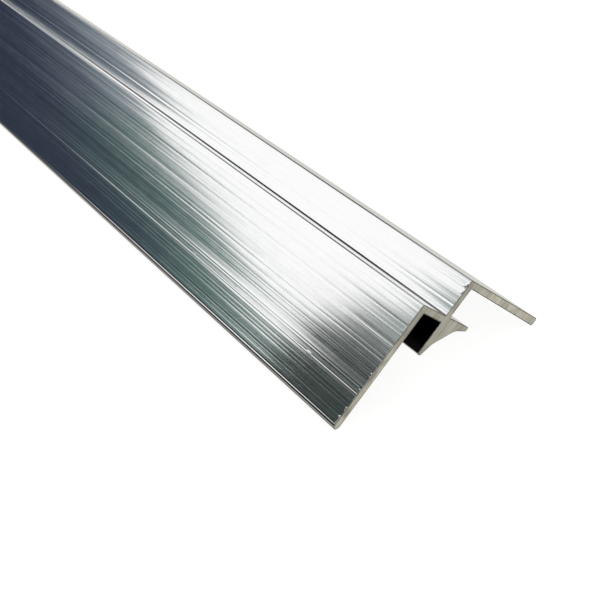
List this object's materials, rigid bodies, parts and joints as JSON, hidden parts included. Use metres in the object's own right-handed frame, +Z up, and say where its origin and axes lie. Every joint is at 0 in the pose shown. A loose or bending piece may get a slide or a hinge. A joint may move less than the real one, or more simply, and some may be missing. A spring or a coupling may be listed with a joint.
{
  "type": "aluminium extrusion profile",
  "caption": "Length of one-piece aluminium extrusion: tall front flange, shelf with a downward groove, horned leg, short web and deep rear flange over a panel slot.",
  "frame": {"origin": "centre of the bounding box's foot, on the floor under the middle of the length", "axes": "+X along the stock towards the shown cut end, -Y towards the side that the front flange faces, +Z up with the stock resting on the edges of its two flanges"},
  "size_m": [1, 0.0704, 0.0285],
  "materials": {
    "mill_aluminium": "bright mill finish with lengthwise die lines, dull saw-cut ends"
  },
  "bodies": {
    "root": {"extruded_profile": "mill_aluminium"}
  },
  "joints": []
}
